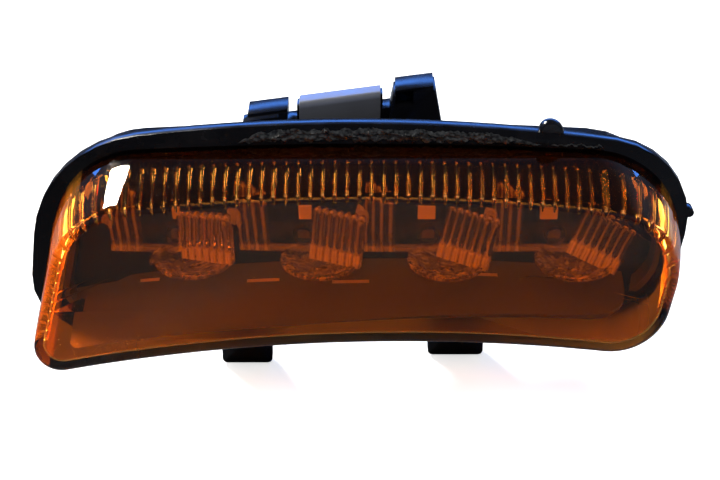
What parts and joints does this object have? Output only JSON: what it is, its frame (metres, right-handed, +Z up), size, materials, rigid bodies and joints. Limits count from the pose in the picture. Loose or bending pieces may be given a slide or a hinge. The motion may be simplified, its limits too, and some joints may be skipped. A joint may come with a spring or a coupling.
{
  "type": "side repeater lamp",
  "caption": "Amber side repeater lamp with an internally fluted lens, clear light-guide optics, a black flanged housing, a steel spring clip above and tongues below",
  "frame": {"origin": "On the back face of the flange, the face that seats on the bodywork, at mid-width and a little above the middle of the lens's height.", "axes": "+X runs along the lamp to the right as seen from the lens, +Y points from the lens back into the bodywork, +Z is up."},
  "size_m": [0.1523, 0.0591, 0.0671],
  "materials": {
    "housing": "black, moulded, glossy with fine handling marks",
    "lens": "amber acrylic, transparent, fluted on the inside",
    "inner_bezel": "dark brown-black, satin",
    "optic": "clear moulded acrylic",
    "circuit_board": "green solder mask",
    "led": "white package with a yellow window",
    "chip": "black moulded packages",
    "capacitor": "plain can",
    "terminal": "tinned brass pins",
    "screw": "zinc-plated steel",
    "spring_steel": "bare spring steel, grey, slightly grained",
    "rubber": "black, semi-gloss",
    "foam": "torn black foam, rough and matt",
    "vent": "dark breather membrane"
  },
  "bodies": {
    "root": {"housing": "housing", "lens": "lens", "inner_bezel": "inner_bezel", "optic_1": "optic", "optic_2": "optic", "optic_3": "optic", "optic_4": "optic", "circuit_board": "circuit_board", "led_1": "led", "led_2": "led", "led_3": "led", "led_4": "led", "resistors": "chip", "driver_chip": "chip", "diode": "chip", "capacitor": "capacitor", "terminal_pins": "terminal", "board_screws": "screw", "spring_clip": "spring_steel", "top_buffer": "rubber", "gasket_remnant": "foam", "vent_patch": "vent"}
  },
  "joints": []
}
